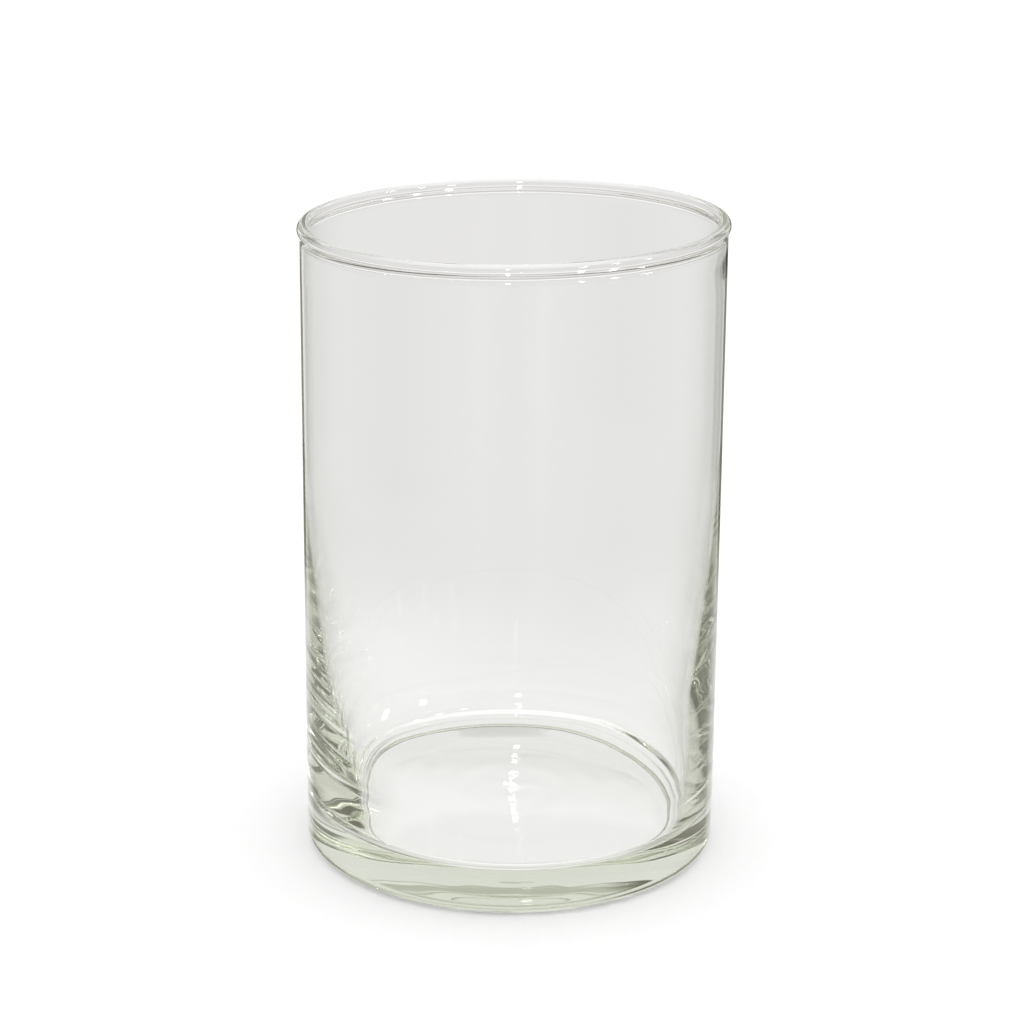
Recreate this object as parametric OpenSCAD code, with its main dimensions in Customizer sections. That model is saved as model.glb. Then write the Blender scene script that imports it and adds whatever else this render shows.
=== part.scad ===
// Straight-sided glass cylinder vase: one piece of blown clear glass with a heavy base.
// Millimetres. +Z is up, and the origin is the centre of the ring that the vase stands on.

/* [Body] */
// Height over the rim
height = 153; // [120:1:200]
// Outside diameter of the straight wall
body_d = 98; // [80:0.5:120]
// Wall thickness above the taper
wall_t = 0.65; // [0.5:0.05:1.2]

/* [Taper] */
// Height at which the inside wall starts to thicken towards the floor
taper_top = 104; // [80:1:110]
// Extra wall thickness that the taper has gained where it meets the floor corner
taper_gain = 6.3; // [3:0.1:8]

/* [Base] */
// Height of the inside floor above the table
floor_z = 9; // [6:0.25:10]
// Radius of the corner between the inside wall and the floor
corner_r = 3.3; // [2.5:0.1:6]
// Radius of the outside heel
heel_r = 3.5; // [2.5:0.25:4.5]
// Width of the flat ring that the vase stands on
foot_w = 4; // [3:0.5:6]
// Height of the hollow under the base at its centre
pushup_z = 1.5; // [1:0.1:2.5]

/* [Rim] */
// Diameter of the rounded bead round the mouth
bead_d = 2.8; // [2.6:0.1:3.2]
// How far the bead stands out past the wall
bead_out = 0.6; // [0.4:0.1:1]
// Radius of the blend under the bead, outside
neck_out_r = 3; // [2:0.5:5]
// Radius of the blend under the bead, inside
neck_in_r = 4; // [2:0.5:6]

/* [Hidden] */

body_r = body_d / 2;
inside_r = body_r - wall_t;
bead_r = bead_d / 2;
bead_c = [body_r + bead_out - bead_r, height - bead_r];

// The taper is one long arc, tangent to the straight inside wall at taper_top.
corner_drop = taper_top - floor_z - corner_r;
taper_r = (corner_drop * corner_drop + taper_gain * taper_gain) / (2 * taper_gain);
taper_c = [inside_r - taper_r, taper_top];
// The corner arc touches the floor and, from within, the taper arc.
corner_c = [
    taper_c[0] + sqrt(pow(taper_r - corner_r, 2) - pow(taper_top - floor_z - corner_r, 2)),
    floor_z + corner_r
];
corner_end = -asin((taper_top - corner_c[1]) / (taper_r - corner_r));

// Each neck arc touches the wall line and the bead.
neck_out_c = [
    body_r + neck_out_r,
    bead_c[1] - sqrt(pow(bead_r + neck_out_r, 2) - pow(body_r + neck_out_r - bead_c[0], 2))
];
neck_out_end = atan2(bead_c[1] - neck_out_c[1], bead_c[0] - neck_out_c[0]);
neck_in_c = [
    inside_r - neck_in_r,
    bead_c[1] - sqrt(pow(bead_r + neck_in_r, 2) - pow(bead_c[0] - inside_r + neck_in_r, 2))
];
neck_in_end = atan2(bead_c[1] - neck_in_c[1], bead_c[0] - neck_in_c[0]);

// Under the base, a lip arc turns up from the foot ring and meets the shallow dome.
foot_in_r = body_r - heel_r - foot_w;
lip_r = 6;
dome_r = (foot_in_r * foot_in_r + pushup_z * pushup_z) / (2 * pushup_z) - lip_r;
dome_half = asin(foot_in_r / (dome_r + lip_r));

// Points along an arc from angle a0 to angle a1, in steps equal parts, both ends included.
function arc(c, r, a0, a1, steps) =
    [for (i = [0 : steps]) let (a = a0 + (a1 - a0) * i / steps) c + r * [cos(a), sin(a)]];

// Half section from the axis under the base, round the outside, over the rim and down to the floor.
section = concat(
    arc([0, pushup_z - dome_r], dome_r, 90, 90 - dome_half, 6),
    arc([foot_in_r, lip_r], lip_r, -90 - dome_half, -90, 2),
    arc([body_r - heel_r, heel_r], heel_r, -90, 0, 10),
    arc(neck_out_c, neck_out_r, 180, neck_out_end, 5),
    arc(bead_c, bead_r, neck_out_end - 180, neck_in_end + 180, 20),
    arc(neck_in_c, neck_in_r, neck_in_end, 0, 5),
    arc(taper_c, taper_r, 0, corner_end, 14),
    arc(corner_c, corner_r, corner_end, -90, 12),
    [[0, floor_z]]
);

// The whole vase: wall, base and rim are one piece of glass.
module glass_vessel() {
    color([0.86, 0.91, 0.87, 0.35])
        rotate_extrude($fn = 180)
            polygon(section);
}

glass_vessel();
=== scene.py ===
"""Glass cylinder vase: one lathed piece of clear glass on a pale floor, in a soft studio."""
import math
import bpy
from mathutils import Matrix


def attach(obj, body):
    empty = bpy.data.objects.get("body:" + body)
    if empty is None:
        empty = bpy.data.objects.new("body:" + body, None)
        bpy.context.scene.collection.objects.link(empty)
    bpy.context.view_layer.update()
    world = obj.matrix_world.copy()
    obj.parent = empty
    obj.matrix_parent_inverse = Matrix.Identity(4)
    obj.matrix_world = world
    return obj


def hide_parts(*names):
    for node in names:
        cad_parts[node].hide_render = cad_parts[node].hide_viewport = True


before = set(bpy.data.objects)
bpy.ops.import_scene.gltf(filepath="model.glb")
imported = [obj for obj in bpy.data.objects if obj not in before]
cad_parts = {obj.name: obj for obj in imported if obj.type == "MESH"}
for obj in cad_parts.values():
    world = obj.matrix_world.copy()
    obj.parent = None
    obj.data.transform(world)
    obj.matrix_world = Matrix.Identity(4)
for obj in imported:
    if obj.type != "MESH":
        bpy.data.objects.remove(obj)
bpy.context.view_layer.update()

from types import SimpleNamespace

import bmesh
import bpy
from mathutils import Matrix, Vector

MM = 0.001

# ---------------------------------------------------------------- sizes, in millimetres, as in the CAD model
HEIGHT = 153.0
BODY_R = 49.0
WALL_T = 0.65
TAPER_TOP = 104.0
TAPER_GAIN = 6.3
FLOOR_Z = 9.0
CORNER_R = 3.3
HEEL_R = 3.5
FOOT_W = 4.0
PUSHUP_Z = 1.5
LIP_R = 6.0
BEAD_R = 1.4
BEAD_OUT = 0.6
NECK_OUT_R = 3.0
NECK_IN_R = 4.0
INSIDE_R = BODY_R - WALL_T

# How far the real glass strays from the drawing, in millimetres
RIM_SLANT = 0.75       # the rim's right side stands this much higher than its middle
RIM_LEAN = 0.75        # the rim's front does too
RIM_DROP = 1.02 * math.hypot(RIM_SLANT, RIM_LEAN)  # and the whole rim is lower, so it stays in the CAD box
CAVITY_SHIFT = -0.25   # the inside is this far off centre along the wall
CORNER_SHIFT = 1.5     # and this far back the other way at the floor corner
BEAD_SHRINK = 0.03     # the bead is drawn in by this much, so that it stays in the CAD box
SHOULDER = (138, 146)  # the wall's waves fade out between these heights, under the bead
FLOOR_EDGE_R = INSIDE_R - TAPER_GAIN - 0.5  # inside points within this radius and under the corner are floor

SEGMENTS = 288         # steps round the axis

# The camera, fitted to the photo's rim, base and edges: metres, radians and, for the lens, millimetres
CAMERA_AT = (0.00004, -0.6709, 0.3019)
CAMERA_DIP = 0.3175
CAMERA_ROLL = 0.0072
CAMERA_LENS = 105.5
CAMERA_SENSOR = 36.0

STAGE_HALF = 6.0       # half the floor's side, in metres
LIGHT_BOUNCES = 80     # light is trapped for many bounces in the thick base


# ---------------------------------------------------------------- the vase's half section
def arc(cx, cz, r, a0, a1, steps):
    """Points along an arc from a0 to a1 degrees, both ends included."""
    angles = [math.radians(a0 + (a1 - a0) * i / steps) for i in range(steps + 1)]
    return [(cx + r * math.cos(a), cz + r * math.sin(a)) for a in angles]


def line(p, q, steps):
    """Points between p and q, both ends left out."""
    return [
        (p[0] + (q[0] - p[0]) * i / steps, p[1] + (q[1] - p[1]) * i / steps)
        for i in range(1, steps)
    ]


def half_section():
    """(outside, inside): the outside from the axis under the base up to the top of the bead, and the inside
    from there down to the axis at the floor. The last value of each arc and line is its number of steps."""
    bead_x = BODY_R + BEAD_OUT - BEAD_R
    bead_z = HEIGHT - BEAD_R
    neck_out_x = BODY_R + NECK_OUT_R
    neck_out_z = bead_z - math.sqrt((BEAD_R + NECK_OUT_R) ** 2 - (neck_out_x - bead_x) ** 2)
    neck_out_end = math.degrees(math.atan2(bead_z - neck_out_z, bead_x - neck_out_x))
    neck_in_x = INSIDE_R - NECK_IN_R
    neck_in_z = bead_z - math.sqrt((BEAD_R + NECK_IN_R) ** 2 - (bead_x - neck_in_x) ** 2)
    neck_in_end = math.degrees(math.atan2(bead_z - neck_in_z, bead_x - neck_in_x))

    drop = TAPER_TOP - FLOOR_Z - CORNER_R
    taper_r = (drop ** 2 + TAPER_GAIN ** 2) / (2 * TAPER_GAIN)
    taper_x = INSIDE_R - taper_r
    corner_z = FLOOR_Z + CORNER_R
    corner_x = taper_x + math.sqrt((taper_r - CORNER_R) ** 2 - drop ** 2)
    corner_end = -math.degrees(math.asin(drop / (taper_r - CORNER_R)))

    foot_in = BODY_R - HEEL_R - FOOT_W
    dome_r = (foot_in ** 2 + PUSHUP_Z ** 2) / (2 * PUSHUP_Z) - LIP_R
    dome_half = math.degrees(math.asin(foot_in / (dome_r + LIP_R)))

    outside = arc(0, PUSHUP_Z - dome_r, dome_r, 90, 90 - dome_half, 24)
    outside += arc(foot_in, LIP_R, LIP_R, -90 - dome_half, -90, 4)
    outside += arc(BODY_R - HEEL_R, HEEL_R, HEEL_R, -90, 0, 14)
    outside += line((BODY_R, HEEL_R), (BODY_R, neck_out_z), 60)
    outside += arc(neck_out_x, neck_out_z, NECK_OUT_R, 180, neck_out_end, 8)
    outside += arc(bead_x, bead_z, BEAD_R, neck_out_end - 180, 90, 14)[1:]
    inside = arc(bead_x, bead_z, BEAD_R, 90, neck_in_end + 180, 14)[1:]
    inside += arc(neck_in_x, neck_in_z, NECK_IN_R, neck_in_end, 0, 8)[1:]
    inside += line((INSIDE_R, neck_in_z), (INSIDE_R, TAPER_TOP), 14)
    inside += arc(taper_x, TAPER_TOP, taper_r, 0, corner_end, 80)
    inside += arc(corner_x, corner_z, CORNER_R, corner_end, -90, 14)[1:]
    inside += line((corner_x, FLOOR_Z), (0, FLOOR_Z), 40)
    inside.append((0, FLOOR_Z))
    return outside, inside


# ---------------------------------------------------------------- how hand-finished glass strays from it
def ramp(x, low, high):
    """0 below low, 1 above high, and smooth between."""
    t = min(1.0, max(0.0, (x - low) / (high - low)))
    return t * t * (3 - 2 * t)


def outside_stray(z, a):
    """Small change in radius of the outside wall: a few slow waves, and faint rings near the base."""
    on_wall = ramp(z, 3, 12) * (1 - ramp(z, *SHOULDER))
    wave = 0.020 * math.sin(2 * a + 0.7) + 0.008 * math.sin(5 * a + z / 31.0)
    rings = 0.006 * math.sin(z / 1.9 + 0.8 * math.sin(a)) * (1 - ramp(z, 14, 40))
    inward = 0.03
    return on_wall * (wave + rings - inward)


def inside_stray(z, a):
    """Small change in radius of the inside wall: long waves and upright cords above, and settle rings down
    the taper, which are strongest near the floor."""
    on_wall = ramp(z, FLOOR_Z + 2, 17) * (1 - ramp(z, *SHOULDER))
    wave = (0.030 * math.sin(3 * a + 1.1) + 0.006 * math.sin(7 * a - z / 23.0)) * ramp(z, 20, 70)
    cords = (0.003 * math.sin(19 * a + 0.5) + 0.0015 * math.sin(37 * a + z / 60.0)) * ramp(z, 50, 90)
    low = 1 - ramp(z, 30, 72)
    swirl = z + 0.8 * math.sin(a + 0.4) + 0.4 * math.sin(2 * a - 0.9)
    fine = 1 - 0.85 * ramp(z, 24, 31)
    rings = low * fine * (0.009 * math.sin(swirl / 0.9) + 0.003 * math.sin(swirl / 0.42 + 1.0))
    return on_wall * (wave + cords + rings)


def floor_stray(r, a):
    """Small change in height of the inside floor: rings left as the glass settled."""
    edge = 1 - ramp(r, 30, 38)
    close = 0.010 * math.sin(r / 1.2 + 1.4 * math.sin(a + 0.6))
    wide = 0.030 * math.sin(r / 3.1 - 0.9 * math.cos(2 * a))
    return edge * (close + wide) * ramp(r, 0, 3)


def place(r, z, a, side):
    """The point of the section at (r, z), turned to the angle a, with all that strays from the drawing."""
    on_floor = side == "inside" and r < FLOOR_EDGE_R and z < FLOOR_Z + CORNER_R
    shift = 0.0
    if side == "outside":
        r += outside_stray(z, a)
    elif on_floor:
        z += floor_stray(r, a)
    else:
        r += inside_stray(z, a)
    r -= BEAD_SHRINK * ramp(z, *SHOULDER)
    if side == "inside":
        shift = CAVITY_SHIFT * (1 - ramp(z, 140, 148)) + CORNER_SHIFT * (1 - ramp(z, 8, 45))
    x = r * math.cos(a)
    y = r * math.sin(a)
    slope = (x * RIM_SLANT - y * RIM_LEAN) / BODY_R - RIM_DROP
    z += slope * ramp(z, 40, HEIGHT)
    return Vector((x + shift, y, z)) * MM


# ---------------------------------------------------------------- the mesh
def lathe(bm, outside, inside):
    """Turns the half section about Z. Its first and last points are on the axis and become poles."""
    points = [(r, z, "outside") for r, z in outside] + [(r, z, "inside") for r, z in inside]
    rings = []
    for r, z, side in points:
        if r < 1e-6:
            rings.append([bm.verts.new(place(0.0, z, 0.0, side))])
            continue
        rings.append([
            bm.verts.new(place(r, z, 2 * math.pi * k / SEGMENTS, side)) for k in range(SEGMENTS)
        ])
    for low, high in zip(rings, rings[1:]):
        for k in range(SEGMENTS):
            n = (k + 1) % SEGMENTS
            if len(low) == 1:
                bm.faces.new((low[0], high[k], high[n]))
            elif len(high) == 1:
                bm.faces.new((low[k], high[0], low[n]))
            else:
                bm.faces.new((low[k], high[k], high[n], low[n]))


def make_vase():
    outside, inside = half_section()
    bm = bmesh.new()
    lathe(bm, outside, inside)
    bmesh.ops.recalc_face_normals(bm, faces=bm.faces)
    for face in bm.faces:
        face.smooth = True
    mesh = bpy.data.meshes.new("vase_glass")
    bm.to_mesh(mesh)
    bm.free()
    piece = bpy.data.objects.new("vase_glass", mesh)
    bpy.context.scene.collection.objects.link(piece)
    return piece


# ---------------------------------------------------------------- node helpers
def fresh_tree(owner):
    owner.use_nodes = True
    owner.node_tree.nodes.clear()
    return owner.node_tree


def add(tree, kind, **inputs):
    node = tree.nodes.new(kind)
    for name, value in inputs.items():
        node.inputs[name.replace("_", " ")].default_value = value
    return node


def maths(tree, operation, a, b=None, clamp=False):
    node = tree.nodes.new("ShaderNodeMath")
    node.operation = operation
    node.use_clamp = clamp
    for socket, value in zip(node.inputs, (a, b)):
        if value is None:
            continue
        if isinstance(value, (int, float)):
            socket.default_value = value
        else:
            tree.links.new(value, socket)
    return node.outputs[0]


def product(tree, first, *others):
    for other in others:
        first = maths(tree, "MULTIPLY", first, other)
    return first


def total(tree, first, *others):
    for other in others:
        first = maths(tree, "ADD", first, other)
    return first


def rise(tree, value, low, high):
    """0 where value is under low, 1 where it is over high, and smooth between."""
    node = tree.nodes.new("ShaderNodeMapRange")
    node.interpolation_type = "SMOOTHSTEP"
    tree.links.new(value, node.inputs["Value"])
    node.inputs["From Min"].default_value = low
    node.inputs["From Max"].default_value = high
    return node.outputs["Result"]


def fall(tree, value, low, high):
    """1 where value is under low, 0 where it is over high, and smooth between."""
    return maths(tree, "SUBTRACT", 1.0, rise(tree, value, low, high))


def mix_colour(tree, factor, a, b):
    """a where factor is 0 and b where it is 1. Each is an (r, g, b) tuple or a socket."""
    node = tree.nodes.new("ShaderNodeMix")
    node.data_type = "RGBA"
    tree.links.new(factor, node.inputs["Factor"])
    for socket, value in ((node.inputs[6], a), (node.inputs[7], b)):
        if isinstance(value, tuple):
            socket.default_value = (*value, 1.0)
        else:
            tree.links.new(value, socket)
    return node.outputs[2]


# ---------------------------------------------------------------- materials
def glass_material():
    """Clear soda-lime glass: smooth, with the faint green that shows where it is thick."""
    material = bpy.data.materials.new("clear_soda_lime_glass")
    tree = fresh_tree(material)
    shader = add(tree, "ShaderNodeBsdfPrincipled", IOR=1.52, Roughness=0.0)
    shader.inputs["Base Color"].default_value = (1.0, 1.0, 1.0, 1.0)
    shader.inputs["Transmission Weight"].default_value = 1.0
    tint = add(tree, "ShaderNodeVolumeAbsorption", Density=5.0)
    tint.inputs["Color"].default_value = (0.36, 0.43, 0.20, 1.0)
    out = tree.nodes.new("ShaderNodeOutputMaterial")
    tree.links.new(shader.outputs["BSDF"], out.inputs["Surface"])
    tree.links.new(tint.outputs["Volume"], out.inputs["Volume"])
    return material


def floor_material():
    material = bpy.data.materials.new("pale_floor")
    tree = fresh_tree(material)
    shader = add(tree, "ShaderNodeBsdfPrincipled", Roughness=0.9)
    shader.inputs["Base Color"].default_value = (0.96, 0.96, 0.96, 1.0)
    shader.inputs["Specular IOR Level"].default_value = 0.0
    out = tree.nodes.new("ShaderNodeOutputMaterial")
    tree.links.new(shader.outputs["BSDF"], out.inputs["Surface"])
    return material


# ---------------------------------------------------------------- the studio's colours
WHITE = (1.0, 1.0, 0.99)
CREAM = (1.0, 1.0, 0.97)
LIGHT = (0.95, 0.95, 0.93)
FRONT = (0.8, 0.8, 0.78)
NEAR = (0.75, 0.75, 0.73)
DIM = (0.6, 0.59, 0.57)
GREY = (0.5, 0.5, 0.49)
BESIDE = (0.45, 0.445, 0.42)
FLAG = (0.10, 0.10, 0.10)
BROWN = (0.14, 0.11, 0.085)
SHADE = (0.16, 0.15, 0.10)
OLIVE = (0.24, 0.22, 0.12)
MOSS = (0.20, 0.21, 0.17)
GLEAM = (0.45, 0.43, 0.38)
GREEN = (0.62, 0.64, 0.56)
PALE = (0.86, 0.89, 0.80)
GLOW = (0.85, 0.85, 0.80)


def neutral(value):
    return (value, value, value)


# ---------------------------------------------------------------- the studio
def read_ray(tree):
    """What the studio is mixed by: the ray's direction, and masks for how often it has bounced off the
    glass or inside it. azimuth is in radians, 0 behind the vase and positive to its right, and off_axis is
    the same without its sign. z is the sine of the elevation, and down is -z. direct is 1 for a ray that
    comes straight from the camera, or from the floor."""
    where = tree.nodes.new("ShaderNodeTexCoord")
    split = tree.nodes.new("ShaderNodeSeparateXYZ")
    tree.links.new(where.outputs["Generated"], split.inputs[0])
    x, y, z = split.outputs
    path = tree.nodes.new("ShaderNodeLightPath")
    bounces = path.outputs["Glossy Depth"]
    azimuth = maths(tree, "ARCTAN2", x, y)
    once = maths(tree, "MINIMUM", bounces, 1.0)
    return SimpleNamespace(
        azimuth=azimuth,
        off_axis=maths(tree, "ABSOLUTE", azimuth),
        z=z,
        down=maths(tree, "MULTIPLY", z, -1.0),
        once=once,
        twice=maths(tree, "SUBTRACT", bounces, once, True),
        under_three=maths(tree, "LESS_THAN", bounces, 2.5),
        four=maths(tree, "GREATER_THAN", bounces, 3.5),
        six=maths(tree, "GREATER_THAN", bounces, 5.5),
        eight=maths(tree, "GREATER_THAN", bounces, 7.5),
        direct=maths(tree, "ADD", path.outputs["Is Camera Ray"], path.outputs["Diffuse Depth"], True),
    )


def around_ramp(tree, ray, stops):
    """A band of the studio, as a colour for each azimuth in degrees: 0 behind the vase, 90 to its right."""
    node = tree.nodes.new("ShaderNodeValToRGB")
    turn = maths(tree, "ADD", maths(tree, "MULTIPLY", ray.azimuth, 0.5 / math.pi), 0.5)
    tree.links.new(turn, node.inputs["Fac"])
    elements = node.color_ramp.elements
    while len(elements) < len(stops):
        elements.new(0.5)
    for element, (degrees, colour) in zip(elements, stops):
        element.position = (degrees + 180) / 360
        element.color = (*colour, 1.0)
    return node.outputs["Color"]


def strip_light(tree, ray, centre, half, low, high, strength):
    """A narrow light on the sky: its centre and half width in degrees, and the z of its two ends."""
    off = maths(tree, "ABSOLUTE", maths(tree, "SUBTRACT", ray.azimuth, math.radians(centre)))
    across = fall(tree, off, math.radians(half * 0.8), math.radians(half))
    above = rise(tree, ray.z, low, low + 0.01)
    below = fall(tree, ray.z, high - 0.02, high)
    return product(tree, across, above, below, strength)


def open_sweep(tree, ray):
    """Below the horizon, for a ray that has only been bent: a pale sweep that is whiter further down, with a
    darker panel left and right of its middle, which darkens the glass close to the vase's edges."""
    whiter = rise(tree, ray.down, 0.37, 0.52)
    sweep = mix_colour(tree, whiter, (0.80, 0.795, 0.785), (0.95, 0.95, 0.945))
    sweep = mix_colour(tree, rise(tree, ray.down, 0.74, 0.80), sweep, neutral(1.15))
    inner_edge = rise(tree, ray.off_axis, 0.15, 0.32)
    outer_edge = fall(tree, ray.off_axis, 0.50, 0.62)
    bottom_edge = fall(tree, ray.down, 0.31, 0.36)
    panels = product(tree, inner_edge, outer_edge, bottom_edge)
    return mix_colour(tree, panels, sweep, (0.42, 0.41, 0.39))


def flags_once(tree, ray):
    """Below the horizon, for a ray that has bounced once: flags in three bands, and the floor under them."""
    level = around_ramp(tree, ray, (
        (-178, NEAR), (-163, LIGHT), (-150, FRONT), (-115, GREY), (-70, FRONT), (-45, FRONT),
        (-34, DIM), (-29, DIM), (-25, WHITE), (-22.5, WHITE), (-21, BROWN), (-13, BROWN),
        (-11, WHITE), (-1, WHITE), (0, FLAG), (3, FLAG), (4.5, DIM), (10, DIM),
        (12, FLAG), (20.5, FLAG), (22, FRONT), (26, (0.40, 0.41, 0.38)), (45, (0.55, 0.55, 0.53)),
        (75, FRONT), (150, FRONT), (163, LIGHT), (178, NEAR),
    ))
    middle = around_ramp(tree, ray, (
        (-75, FRONT), (-34, DIM), (-27, WHITE), (27, WHITE), (34, DIM), (75, FRONT),
    ))
    lower = around_ramp(tree, ray, (
        (-80, FRONT), (-40, BESIDE), (-30, OLIVE), (-15, OLIVE), (-12, WHITE), (9, WHITE),
        (12, GREEN), (40, GREEN), (55, BESIDE), (80, FRONT),
    ))
    foot = (0.85, 0.85, 0.83)
    flags = mix_colour(tree, rise(tree, ray.down, 0.315, 0.355), level, middle)
    flags = mix_colour(tree, rise(tree, ray.down, 0.40, 0.46), flags, lower)
    return mix_colour(tree, rise(tree, ray.down, 0.76, 0.84), flags, foot)


def flags_twice(tree, ray):
    """Below the horizon, for a ray that has bounced twice or more. After two or three bounces it is pale
    behind the vase and dark to its left. After more it is dark behind too, most of all after six or seven.
    The part further down is pale behind and to the right."""
    some = around_ramp(tree, ray, (
        (-130, BESIDE), (-100, SHADE), (-72, SHADE), (-69, GLEAM), (-65, SHADE), (-44, SHADE),
        (-41, GLEAM), (-39, SHADE), (-25, SHADE), (-16, PALE), (38, PALE), (44, MOSS),
        (100, MOSS), (130, BESIDE),
    ))
    dense = around_ramp(tree, ray, (
        (-130, BESIDE), (-100, SHADE), (-72, SHADE), (-69, GLEAM), (-65, SHADE), (100, MOSS),
        (130, BESIDE),
    ))
    under = around_ramp(tree, ray, ((-30, SHADE), (-18, CREAM), (120, CREAM), (150, SHADE)))
    dark = total(
        tree,
        product(tree, ray.four, 0.35),
        product(tree, ray.six, 0.65),
        product(tree, ray.eight, -0.55),
    )
    deep = mix_colour(tree, dark, some, dense)
    dip = maths(tree, "SUBTRACT", ray.down, maths(tree, "MULTIPLY", ray.four, 0.10))
    return mix_colour(tree, rise(tree, dip, 0.36, 0.41), deep, under)


def sky_bounced(tree, ray):
    """Above the horizon, for a ray that has bounced. After one bounce there is a low band, grey-green behind
    the vase and dark beside it, with a bright band over it. After more the low part is pale, and after eight
    it has a dark screen on each side. Overhead is dark for the first two bounces."""
    beside = rise(tree, ray.off_axis, 0.35, 0.5)
    behind_band = mix_colour(tree, rise(tree, ray.z, 0.20, 0.28), (0.72, 0.75, 0.68), neutral(1.1))
    beside_band = mix_colour(tree, rise(tree, ray.z, 0.36, 0.44), (0.20, 0.18, 0.16), neutral(1.1))
    sky = mix_colour(tree, beside, behind_band, beside_band)
    screens = around_ramp(tree, ray, (
        (-140, GLOW), (-125, SHADE), (-104, SHADE), (-96, GLOW), (30, GLOW), (40, SHADE),
        (88, SHADE), (97, GLOW),
    ))
    screens = mix_colour(tree, ray.eight, GLOW, screens)
    screens = mix_colour(tree, rise(tree, ray.z, 0.46, 0.50), screens, (1.0, 1.0, 0.95))
    deep_sky = mix_colour(tree, product(tree, beside, ray.four), LIGHT, screens)
    sky = mix_colour(tree, ray.twice, sky, deep_sky)
    dark_top = product(tree, rise(tree, ray.z, 0.46, 0.52), ray.under_three)
    return mix_colour(tree, dark_top, sky, (0.14, 0.13, 0.12))


def sky_open(tree, ray):
    """Above the horizon, for a ray that has only been bent: a pale sky with one darker band."""
    band = maths(tree, "SUBTRACT", rise(tree, ray.z, 0.14, 0.18), rise(tree, ray.z, 0.26, 0.34))
    return mix_colour(tree, band, (0.86, 0.855, 0.85), (0.60, 0.57, 0.54))


def studio_strips(tree, ray):
    """Lights for rays that have bounced: one over the camera and three at the right front, which are dim
    after a second bounce, and a dashed one behind the vase, which is seen only after a single bounce."""
    lights = strip_light(tree, ray, centre=-176, half=1.4, low=0.41, high=0.70, strength=90.0)
    for centre in (100, 122, 142):
        lights = total(
            tree, lights,
            strip_light(tree, ray, centre=centre, half=2.2, low=0.385, high=0.58, strength=45.0),
        )
    dimmed = maths(tree, "SUBTRACT", ray.once, maths(tree, "MULTIPLY", ray.twice, 0.85))
    rear = strip_light(tree, ray, centre=-0.07, half=0.17, low=0.372, high=0.435, strength=14.0)
    wave = maths(tree, "SINE", maths(tree, "MULTIPLY", maths(tree, "SUBTRACT", ray.z, 0.3790), 740.0))
    dashes = maths(tree, "GREATER_THAN", wave, 0.3)
    single = maths(tree, "SUBTRACT", ray.once, ray.twice)
    return total(tree, product(tree, lights, dimmed), product(tree, rear, dashes, single))


def studio_world():
    """A soft studio as a world shader. A ray that only bends on its way through the glass sees the open
    sweep and sky, and one that has bounced sees flags, a darker sky and strip lights."""
    world = bpy.data.worlds.new("studio")
    bpy.context.scene.world = world
    tree = fresh_tree(world)
    ray = read_ray(tree)

    flags = mix_colour(tree, ray.twice, flags_once(tree, ray), flags_twice(tree, ray))
    colour = mix_colour(tree, ray.once, open_sweep(tree, ray), flags)
    seam = product(tree, rise(tree, ray.z, 0.015, 0.025), ray.once)
    colour = mix_colour(tree, seam, colour, (0.45, 0.40, 0.35))
    colour = mix_colour(tree, rise(tree, ray.z, 0.040, 0.045), colour, neutral(1.15))
    sky = mix_colour(tree, ray.once, sky_open(tree, ray), sky_bounced(tree, ray))
    colour = mix_colour(tree, rise(tree, ray.z, 0.075, 0.085), colour, sky)
    plain_sky = product(tree, ray.direct, rise(tree, ray.z, -0.05, 0.0))
    colour = mix_colour(tree, plain_sky, colour, neutral(1.3))

    back = tree.nodes.new("ShaderNodeBackground")
    tree.links.new(colour, back.inputs["Color"])
    tree.links.new(total(tree, studio_strips(tree, ray), 1.0), back.inputs["Strength"])
    out = tree.nodes.new("ShaderNodeOutputWorld")
    tree.links.new(back.outputs["Background"], out.inputs["Surface"])


def make_floor():
    """The stage's floor. It is hidden from rays that pass through the glass or bounce off it, which see the
    studio's own lower half in its place."""
    half = STAGE_HALF
    corners = [(-half, -half, 0), (half, -half, 0), (half, half, 0), (-half, half, 0)]
    mesh = bpy.data.meshes.new("floor")
    mesh.from_pydata(corners, [], [(0, 1, 2, 3)])
    floor = bpy.data.objects.new("floor", mesh)
    bpy.context.scene.collection.objects.link(floor)
    floor.data.materials.append(floor_material())
    floor.visible_transmission = False
    floor.visible_glossy = False


def make_camera():
    camera = bpy.data.objects.new("camera", bpy.data.cameras.new("camera"))
    bpy.context.scene.collection.objects.link(camera)
    camera.data.sensor_width = CAMERA_SENSOR
    camera.data.lens = CAMERA_LENS
    camera.data.clip_start = 0.01
    camera.data.clip_end = 50.0
    tilt = math.radians(90) - CAMERA_DIP
    turn = Matrix.Rotation(tilt, 4, "X") @ Matrix.Rotation(CAMERA_ROLL, 4, "Z")
    camera.matrix_world = Matrix.Translation(CAMERA_AT) @ turn
    bpy.context.scene.camera = camera


# ---------------------------------------------------------------- build
vase = make_vase()
vase.data.materials.append(glass_material())
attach(vase, "root")
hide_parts("glass_vessel")

make_floor()
studio_world()
make_camera()

scene = bpy.context.scene
scene.view_settings.view_transform = "Standard"
scene.cycles.max_bounces = LIGHT_BOUNCES
scene.cycles.transmission_bounces = LIGHT_BOUNCES
scene.cycles.glossy_bounces = LIGHT_BOUNCES
scene.cycles.sample_clamp_indirect = 0.0
